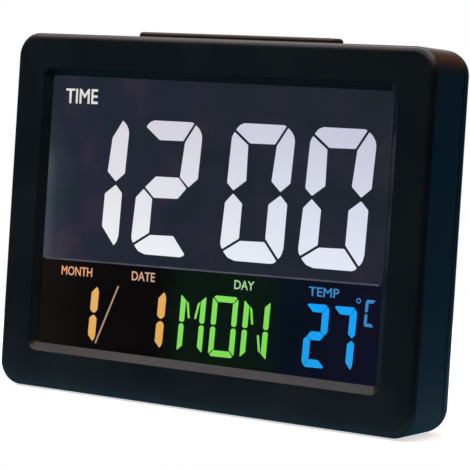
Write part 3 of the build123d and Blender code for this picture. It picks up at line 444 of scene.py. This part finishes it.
def glass_piece(name, made, material):
    """Thickens flat faces, in millimetres on the glass, and lets them ride on the case."""
    raised = bmesh.ops.extrude_face_region(made, geom=made.faces[:])["geom"]
    bmesh.ops.translate(made, vec=(0, 0, SEGMENT_THICKNESS),
                        verts=[part for part in raised if isinstance(part, bmesh.types.BMVert)])
    bmesh.ops.transform(made, matrix=FACE_TO_ROOM @ Matrix.Rotation(GLASS_TURN, 4, "Z"),
                        verts=made.verts)
    bmesh.ops.recalc_face_normals(made, faces=made.faces)
    mesh = bpy.data.meshes.new(name)
    made.to_mesh(mesh)
    made.free()
    mesh.materials.append(material)
    piece = bpy.data.objects.new(name, mesh)
    bpy.context.scene.collection.objects.link(piece)
    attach(piece, "case")


def figure(letter, middle, size=1.0):
    """The outlines of one figure, from its middle on the glass."""
    outlines = []
    for part, across, up in FIGURES[letter]:
        corners = [(size * across * x, size * up * y) for x, y in SEGMENTS[part]]
        outlines.append([(middle[0] + x + SLANT * y, middle[1] + y) for x, y in corners])
    return outlines


TIME_ROW = (43.0, 81.0)  # heights between which the tall figures stand
STRIP_ROW = (16.0, 33.0)  # and the small ones


def lit_colour(name, low, high=None, reach=(-56.0, 56.0), heights=TIME_ROW):
    """Light through the film: hex colours from left to right, at the foot and at the top."""
    material, tree = start_material(name)
    place = face_millimetres(tree)
    spot = node(tree, "SeparateXYZ", {0: place})
    mottle = node(tree, "TexNoise", {"Vector": place, "Scale": 1 / 9.0, "Detail": 2.0})
    across = node(tree, "MapRange", {"Value": spot.outputs["X"], "From Min": reach[0],
                                     "From Max": reach[1]})
    uneven = node(tree, "Mix", {"Factor": 0.15, "A": across.outputs[0], "B": mottle.outputs[0]},
                  data_type="FLOAT")
    up = node(tree, "MapRange", {"Value": spot.outputs["Z"], "From Min": heights[0],
                                 "From Max": heights[1]})
    foot, top = [node(tree, "ValToRGB", {"Fac": uneven.outputs[0]},
                      stops=[(i / (len(codes) - 1), code) for i, code in enumerate(codes)])
                 for codes in (low, high or low)]
    tint = node(tree, "Mix", {"Factor": up.outputs[0], 6: foot.outputs[0], 7: top.outputs[0]},
                data_type="RGBA")
    light = node(tree, "BsdfPrincipled", {"Base Color": linear("#000000"), "Roughness": 0.3,
                                          "Specular IOR Level": 0.1,
                                          "Emission Color": tint.outputs[2],
                                          "Emission Strength": 1.0})
    node(tree, "OutputMaterial", {"Surface": light.outputs[0]})
    return material


white_light = lit_colour("white_backlight", ["#f4f0f0", "#eff3f8", "#eaeef9", "#e6e9f9"],
                         ["#e8e2e8", "#d9d5df", "#cfd1e3", "#c4c5da"])
orange_light = lit_colour("orange_film_light", ["#e6ac5c", "#e2a958"], ["#ecb566", "#e4ae60"],
                          reach=(-45.0, -10.0), heights=STRIP_ROW)
pale_orange_light = lit_colour("pale_orange_film_light", ["#a98a6c", "#b2937a"],
                               reach=(-40.0, -28.0))
green_light = lit_colour("green_film_light", ["#86dc58", "#7edc50"], ["#86e45c", "#80de56"],
                         reach=(-10.0, 24.0), heights=STRIP_ROW)
blue_light = lit_colour("blue_film_light", ["#1ea0e8", "#24a2ee"], ["#10a2ff", "#18a4fa"],
                        reach=(30.0, 58.0), heights=STRIP_ROW)
dim_blue_light = lit_colour("dim_blue_film_light", ["#357fb4", "#3a84ba"],
                            ["#3b86c8", "#4087c0"], reach=(30.0, 58.0), heights=STRIP_ROW)

lit_plates("hour_and_minute_digits",
           figure("tall 1", (-40.2, 62.6)) + figure("tall 2", (-14.4, 62.1))
           + figure("tall 0", (16.7, 62.3)) + figure("tall 0", (42.65, 62.05)),
           white_light, rounding=0.25)
lit_plates("month_and_date_digits",
           figure("1", (-40.73, 24.15)) + figure("1", (-16.6, 24.3)),
           orange_light, rounding=0.15)
lit_plates("date_slash", [[(-37.55, 15.6), (-36.95, 15.6), (-29.5, 32.9), (-30.1, 32.9)]],
           pale_orange_light, rounding=0.1)
lit_plates("day_letters",
           figure("M", (-3.4, 24.15)) + figure("O", (7.5, 24.15)) + figure("N", (18.2, 24.15)),
           green_light, rounding=0.12)
lit_plates("temperature_digits", figure("2", (37.95, 24.15)) + figure("7", (46.7, 24.15)),
           blue_light, rounding=0.2)
lit_plates("degree_unit", figure("C", (54.75, 31.6), size=0.42), dim_blue_light, rounding=0.08)

# Thin line between the time and the strip, printed on the glass in pale grey ink. It is flat and
# matt, a little uneven along its length, and dimly lit from behind.
grey_ink, tree = start_material("pale_grey_ink")
place = face_millimetres(tree)
worn = node(tree, "TexNoise", {"Vector": place, "Scale": 1 / 6.0, "Detail": 3.0})
tint = node(tree, "ValToRGB", {"Fac": worn.outputs[0]},
            stops=[(0.3, "#42424f"), (0.7, "#50505f")])
ink = node(tree, "BsdfPrincipled", {"Base Color": linear("#202028"), "Roughness": 0.5,
                                    "Emission Color": tint.outputs[0],
                                    "Emission Strength": 0.9})
node(tree, "OutputMaterial", {"Surface": ink.outputs[0]})
low, high = DIVIDER
lit_plates("divider_line", [[(-57.0, low), (57.2, low), (57.2, high), (-57.0, high)]],
           grey_ink, rounding=0.05)

# Captions of the five readings, lit through the film like the figures. Each has its box on the
# glass: left, right, bottom and top.
CAPTIONS = {
    "TIME": ((-52.4, -40.6, 85.5, 89.85), lit_colour("caption_white", ["#e6e2dc", "#e9e6e2"])),
    "MONTH": ((-50.9, -39.55, 34.8, 37.5),
              lit_colour("caption_orange", ["#e09a6c", "#c99a7c"], ["#e8a274", "#cf9f80"],
                         reach=(-51.0, -17.0), heights=STRIP_ROW)),
    "DATE": ((-25.15, -16.9, 34.95, 37.6),
             lit_colour("caption_pale_orange", ["#c79a7c", "#c79a7c"], ["#d0a284", "#d0a284"],
                        reach=(-26.0, -16.0), heights=STRIP_ROW)),
    "DAY": ((10.55, 17.2, 35.0, 37.55), lit_colour("caption_green", ["#9fce94", "#a9d49c"])),
    "TEMP": ((35.15, 44.9, 34.95, 37.5), dim_blue_light),
}
BOLDER = 0.05 / 2.6  # added on every side of a stroke, as a share of the height of the letters
TIGHTEST = 0.5  # cosine of half the turn at a corner, past which it moves out no further


def thicken(made, by):
    """Moves the outline of flat letters outward, square to the edges at each corner."""
    moves = []
    for vert in made.verts:
        sides = []
        for edge in vert.link_edges:
            if edge.is_boundary:
                loop = edge.link_loops[0]
                run = (loop.link_loop_next.vert.co - loop.vert.co).normalized()
                sides.append(Vector((run.y, -run.x, 0.0)) * loop.face.normal.z)
        if len(sides) == 2:
            out = (sides[0] + sides[1]).normalized()
            moves.append((vert, out * by / max(TIGHTEST, out.dot(sides[0]))))
    for vert, move in moves:
        vert.co += move


for word, ((left, right, low, high), material) in CAPTIONS.items():
    letters = bpy.data.curves.new(word, "FONT")
    letters.body = word
    letters.resolution_u = 4
    writing = bpy.data.objects.new(word, letters)
    bpy.context.scene.collection.objects.link(writing)
    flat = bpy.data.meshes.new_from_object(writing.evaluated_get(
        bpy.context.evaluated_depsgraph_get()))
    bpy.data.objects.remove(writing)
    made = bmesh.new()
    made.from_mesh(flat)
    bpy.data.meshes.remove(flat)
    xs = [vert.co.x for vert in made.verts]
    ys = [vert.co.y for vert in made.verts]
    bold = BOLDER * (high - low)
    grow = Matrix.Diagonal(((right - left - 2 * bold) / (max(xs) - min(xs)),
                            (high - low - 2 * bold) / (max(ys) - min(ys)), 1, 1))
    bmesh.ops.translate(made, verts=made.verts, vec=(-min(xs), -min(ys), 0))
    bmesh.ops.transform(made, verts=made.verts,
                        matrix=Matrix.Translation((left + bold, low + bold,
                                                   FRONT_OF_SEGMENTS)) @ grow)
    made.normal_update()
    thicken(made, bold)
    glass_piece(word.lower() + "_caption", made, material)

# The sign for a degree: a small ring beside the figures.
RING_RADIUS = 0.75
RING_WIDTH = 0.3
ring = bmesh.new()
bmesh.ops.create_circle(ring, cap_ends=True, radius=RING_RADIUS, segments=20)
bmesh.ops.inset_region(ring, faces=ring.faces[:], use_boundary=True, thickness=RING_WIDTH)
bmesh.ops.delete(ring, geom=[f for f in ring.faces if len(f.verts) > 4], context="FACES")
bmesh.ops.translate(ring, verts=ring.verts, vec=(51.1, 34.8, FRONT_OF_SEGMENTS))
glass_piece("degree_ring", ring, dim_blue_light)

# --------------------------------------------------------------------- colour film and backlight
# A printed film gives each zone of the display its colour: flat inks with a satin sheen. Behind
# it lie a matt diffuser, a clear light guide with a pattern of dots, and a white reflector, in a
# tray of moulded white ABS.
printed_film, tree = start_material("printed_colour_film")
place = face_millimetres(tree)
spot = node(tree, "SeparateXYZ", {0: place})
across = node(tree, "MapRange", {"Value": spot.outputs["X"], "From Min": -WINDOW_HALF,
                                 "From Max": WINDOW_HALF})
zones = node(tree, "ValToRGB", {"Fac": across.outputs[0]},
             stops=[(0.0, "#e8963c"), (0.39, "#64c846"), (0.74, "#2f8fe0")])
zones.color_ramp.interpolation = "CONSTANT"
STRIP_TOP = 39.5  # the zones end here, and the film above is white
above = node(tree, "Math", {0: spot.outputs["Z"], 1: STRIP_TOP}, operation="GREATER_THAN")
inks = node(tree, "Mix", {"Factor": above.outputs[0], 6: zones.outputs[0],
                          7: linear("#e9e7ee")}, data_type="RGBA")
film = node(tree, "BsdfPrincipled", {"Base Color": inks.outputs[2], "Roughness": 0.35})
node(tree, "OutputMaterial", {"Surface": film.outputs[0]})
dress(printed_film, "colour_film")


def pale_plastic(name, dark, pale, rough, scale_mm, depth_mm):
    """Pale plastic whose colour and surface vary a little at one scale.

    Frost and mould grain are finer than 0.1 mm, and are drawn at about 0.5 mm, so that they show.
    """
    material, tree = start_material(name)
    place = face_millimetres(tree)
    uneven = node(tree, "TexNoise", {"Vector": place, "Scale": 1 / scale_mm, "Detail": 3.0})
    tint = node(tree, "ValToRGB", {"Fac": uneven.outputs[0]}, stops=[(0.3, dark), (0.7, pale)])
    bump = node(tree, "Bump", {"Height": uneven.outputs[0], "Strength": 0.5,
                               "Distance": depth_mm / 1000})
    shell = node(tree, "BsdfPrincipled", {"Base Color": tint.outputs[0], "Roughness": rough,
                                          "Normal": bump.outputs[0]})
    node(tree, "OutputMaterial", {"Surface": shell.outputs[0]})
    return material


dress(pale_plastic("frosted_polyester", "#e3e4e4", "#edeeee", rough=0.6, scale_mm=0.5,
                   depth_mm=0.01), "diffuser_sheet")
dress(pale_plastic("white_reflector_film", "#eceae4", "#f4f3ee", rough=0.25, scale_mm=12.0,
                   depth_mm=0.02), "reflector_sheet")
dress(pale_plastic("moulded_white_abs", "#dcdbd4", "#e6e5df", rough=0.5, scale_mm=0.6,
                   depth_mm=0.02), "backlight_tray")

dotted_acrylic, tree = start_material("dotted_light_guide_acrylic")
place = face_millimetres(tree)
dots = node(tree, "TexVoronoi", {"Vector": place, "Scale": 1 / 1.2, "Randomness": 0.0})
printed = node(tree, "MapRange", {"Value": dots.outputs["Distance"], "From Min": 0.28,
                                  "From Max": 0.34, "To Min": 0.7, "To Max": 0.05})
guide = node(tree, "BsdfPrincipled", {"Base Color": linear("#f4f8f8"), "IOR": 1.49,
                                      "Roughness": printed.outputs[0],
                                      "Transmission Weight": 1.0})
node(tree, "OutputMaterial", {"Surface": guide.outputs[0]})
dress(dotted_acrylic, "light_guide")

# Lamps of the backlight, potted in phosphor and soldered to their strip. The phosphor gives them
# a pale, grainy yellow while they are off.
phosphor, tree = start_material("phosphor_lamps")
place = face_millimetres(tree)
grains = node(tree, "TexNoise", {"Vector": place, "Scale": 1 / 0.3, "Detail": 2.0})
tint = node(tree, "ValToRGB", {"Fac": grains.outputs[0]},
            stops=[(0.3, "#e9dc8a"), (0.7, "#f5efc4")])
lamp_body = node(tree, "BsdfPrincipled", {"Base Color": tint.outputs[0], "Roughness": 0.4})
node(tree, "OutputMaterial", {"Surface": lamp_body.outputs[0]})
dress(phosphor, "backlight_leds")

# Elastomer strip: thin conducting layers of black silicone between pale ones, 0.2 mm apart. They
# are drawn 0.5 mm apart, so that they show. A wave node has one band in 0.314 mm at scale 1.
zebra, tree = start_material("layered_silicone")
place = face_millimetres(tree)
layers = node(tree, "TexWave", {"Vector": place, "Scale": 0.62}, bands_direction="X")
tint = node(tree, "ValToRGB", {"Fac": layers.outputs[0]},
            stops=[(0.45, "#161616"), (0.55, "#b9b7b0")])
silicone = node(tree, "BsdfPrincipled", {"Base Color": tint.outputs[0], "Roughness": 0.6})
node(tree, "OutputMaterial", {"Surface": silicone.outputs[0]})
dress(zebra, "zebra_connector")


# -------------------------------------------------------------------------------- circuit boards
# Boards of glass-epoxy laminate under a green or white solder mask, cut and drilled from sheet.
# Copper tracks lie under the mask and show as slightly raised lines of another shade.
def masked_board(name, mask, track, pitch_mm=1.27):
    """Solder mask over tracks, drawn as a brick pattern of 1.5 pitches by 0.75 of one."""
    material, tree = start_material(name)
    place = face_millimetres(tree)
    turned = node(tree, "Mapping", {"Vector": place, "Rotation": (math.radians(90), 0, 0)})
    grid = node(tree, "TexBrick", {"Vector": turned.outputs[0], "Scale": 1 / pitch_mm / 3,
                                   "Mortar Size": 0.06, "Mortar Smooth": 0.1,
                                   "Color1": linear(mask), "Color2": linear(mask),
                                   "Mortar": linear(track)})
    weave = node(tree, "TexNoise", {"Vector": place, "Scale": 1 / 2.0, "Detail": 2.0})
    shade = node(tree, "MapRange", {"Value": weave.outputs[0], "To Min": 0.8, "To Max": 1.2})
    cloudy = node(tree, "HueSaturation", {"Color": grid.outputs["Color"],
                                          "Value": shade.outputs[0]})
    bump = node(tree, "Bump", {"Height": grid.outputs["Fac"], "Strength": 0.5,
                               "Distance": 0.00004})
    board = node(tree, "BsdfPrincipled", {"Base Color": cloudy.outputs[0], "Roughness": 0.32,
                                          "Normal": bump.outputs[0]})
    node(tree, "OutputMaterial", {"Surface": board.outputs[0]})
    return material


dress(masked_board("green_solder_mask", "#0b4a24", "#1d7a3e"),
      "main_board", "key_board", "usb_board")
dress(masked_board("white_solder_mask", "#e2e4de", "#cfd2c8"), "led_strip")


# --------------------------------------------------------------------------- parts on the boards
# The clock chip is a blob of black epoxy cast over the bare die. The crystal has a drawn can of
# tinned steel, the capacitors cans of aluminium, the sensor is a bead of dark epoxy, and the
# buzzer, the switches and their plungers are moulded in black plastic. All are soldered in.
def small_part(name, dark, pale, rough, scale_mm, metallic=0.0, depth_mm=0.01):
    """A finish for a small part: colour, sheen and surface vary a little at one scale.

    Cast epoxy is glossy with a slow swell, moulded black plastic satin, and drawn or plated metal
    bright with slightly duller patches.
    """
    material, tree = start_material(name)
    place = node(tree, "TexCoord").outputs["Object"]
    uneven = node(tree, "TexNoise", {"Vector": place, "Scale": 1000 / scale_mm, "Detail": 3.0})
    tint = node(tree, "ValToRGB", {"Fac": uneven.outputs[0]}, stops=[(0.3, dark), (0.7, pale)])
    varied = node(tree, "MapRange", {"Value": uneven.outputs[0], "From Min": 0.3,
                                     "From Max": 0.7, "To Min": rough - 0.06,
                                     "To Max": rough + 0.06})
    bump = node(tree, "Bump", {"Height": uneven.outputs[0], "Strength": 0.4,
                               "Distance": depth_mm / 1000})
    part = node(tree, "BsdfPrincipled", {"Base Color": tint.outputs[0], "Metallic": metallic,
                                         "Roughness": varied.outputs[0],
                                         "Normal": bump.outputs[0]})
    node(tree, "OutputMaterial", {"Surface": part.outputs[0]})
    return material


dress(small_part("black_epoxy", "#08080a", "#0f0f12", rough=0.18, scale_mm=3.0, depth_mm=0.08),
      "clock_chip")
dress(small_part("tinned_steel", "#a9a8a3", "#c2c1bc", rough=0.28, scale_mm=0.8, metallic=1.0),
      "quartz_crystal")
dress(small_part("drawn_aluminium", "#b4b6b8", "#cbccce", rough=0.3, scale_mm=0.6,
                 metallic=1.0), "capacitors")
dress(small_part("sensor_epoxy", "#0b1220", "#141d2e", rough=0.2, scale_mm=1.0),
      "temperature_sensor")
dress(small_part("moulded_black_pbt", "#101011", "#19191a", rough=0.45, scale_mm=0.4),
      "buzzer", "snooze_switch", "key_switches")
dress(small_part("moulded_black_acetal", "#0c0c0d", "#151516", rough=0.35, scale_mm=0.4),
      "snooze_plunger", *[f"{key}_plunger" for key in KEYS])
dress(small_part("nickel_plated_steel", "#a5a197", "#c0bcb0", rough=0.24, scale_mm=0.7,
                 metallic=1.0),
      "usb_socket", "negative_contact", "positive_contact",
      "right_link_contact", "left_link_contact")

# Flat cable between the boards: tinned wires side by side in grey PVC, 1.27 mm apart, which gives
# it dull round ribs with darker grooves.
ribbed_pvc, tree = start_material("ribbed_grey_pvc")
place = face_millimetres(tree)
ribs = node(tree, "TexWave", {"Vector": place, "Scale": 0.2475}, bands_direction="X")
tint = node(tree, "ValToRGB", {"Fac": ribs.outputs[0]},
            stops=[(0.0, "#6d6f73"), (0.6, "#9a9ca0")])
bump = node(tree, "Bump", {"Height": ribs.outputs[0], "Strength": 0.8, "Distance": 0.0003})
ribbon = node(tree, "BsdfPrincipled", {"Base Color": tint.outputs[0], "Roughness": 0.5,
                                       "Normal": bump.outputs[0]})
node(tree, "OutputMaterial", {"Surface": ribbon.outputs[0]})
dress(ribbed_pvc, "board_ribbon")

# ------------------------------------------------------------------------------------- AAA cells
# Three plain AAA cells. Each is a nickel-plated steel can in a printed plastic jacket that stops
# short of both ends, dark blue with a copper-coloured band at the positive end, and lies with its
# ends turned the other way from the next one.
MIDDLE_CELL = 32.0  # height of the middle cell
HALF_PITCH = 5.55  # half the distance from one cell to the next
HALF_LENGTH = 22.5
cell_jacket, tree = start_material("printed_cell_jacket")
place = face_millimetres(tree)
spot = node(tree, "SeparateXYZ", {0: place})
from_middle = node(tree, "Math", {0: spot.outputs["Z"], 1: MIDDLE_CELL},
                   operation="SUBTRACT")
middle_row = node(tree, "Math", {0: from_middle.outputs[0], 1: 0.0, 2: HALF_PITCH},
                  operation="COMPARE")
turned_end = node(tree, "MapRange", {"Value": middle_row.outputs[0], "To Min": 1.0,
                                     "To Max": -1.0})
along = node(tree, "Math", {0: spot.outputs["X"], 1: turned_end.outputs[0]},
             operation="MULTIPLY")
length = node(tree, "MapRange", {"Value": along.outputs[0], "From Min": -HALF_LENGTH,
                                 "From Max": HALF_LENGTH})
bands = node(tree, "ValToRGB", {"Fac": length.outputs[0]},
             stops=[(0.0, "#b9b6ad"), (0.02, "#18222f"), (0.76, "#a8643c"), (0.97, "#b9b6ad")])
bands.color_ramp.interpolation = "CONSTANT"
metal = node(tree, "ValToRGB", {"Fac": length.outputs[0]},
             stops=[(0.0, "#ffffff"), (0.02, "#000000"), (0.76, "#ffffff")])
metal.color_ramp.interpolation = "CONSTANT"
cell = node(tree, "BsdfPrincipled", {"Base Color": bands.outputs[0], "Roughness": 0.28,
                                     "Metallic": metal.outputs[0]})
node(tree, "OutputMaterial", {"Surface": cell.outputs[0]})
dress(cell_jacket, "battery_cells")

# ----------------------------------------------------------------------------------------- sizes
# The box around every shown piece of the clock, without the floor.
low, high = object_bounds()
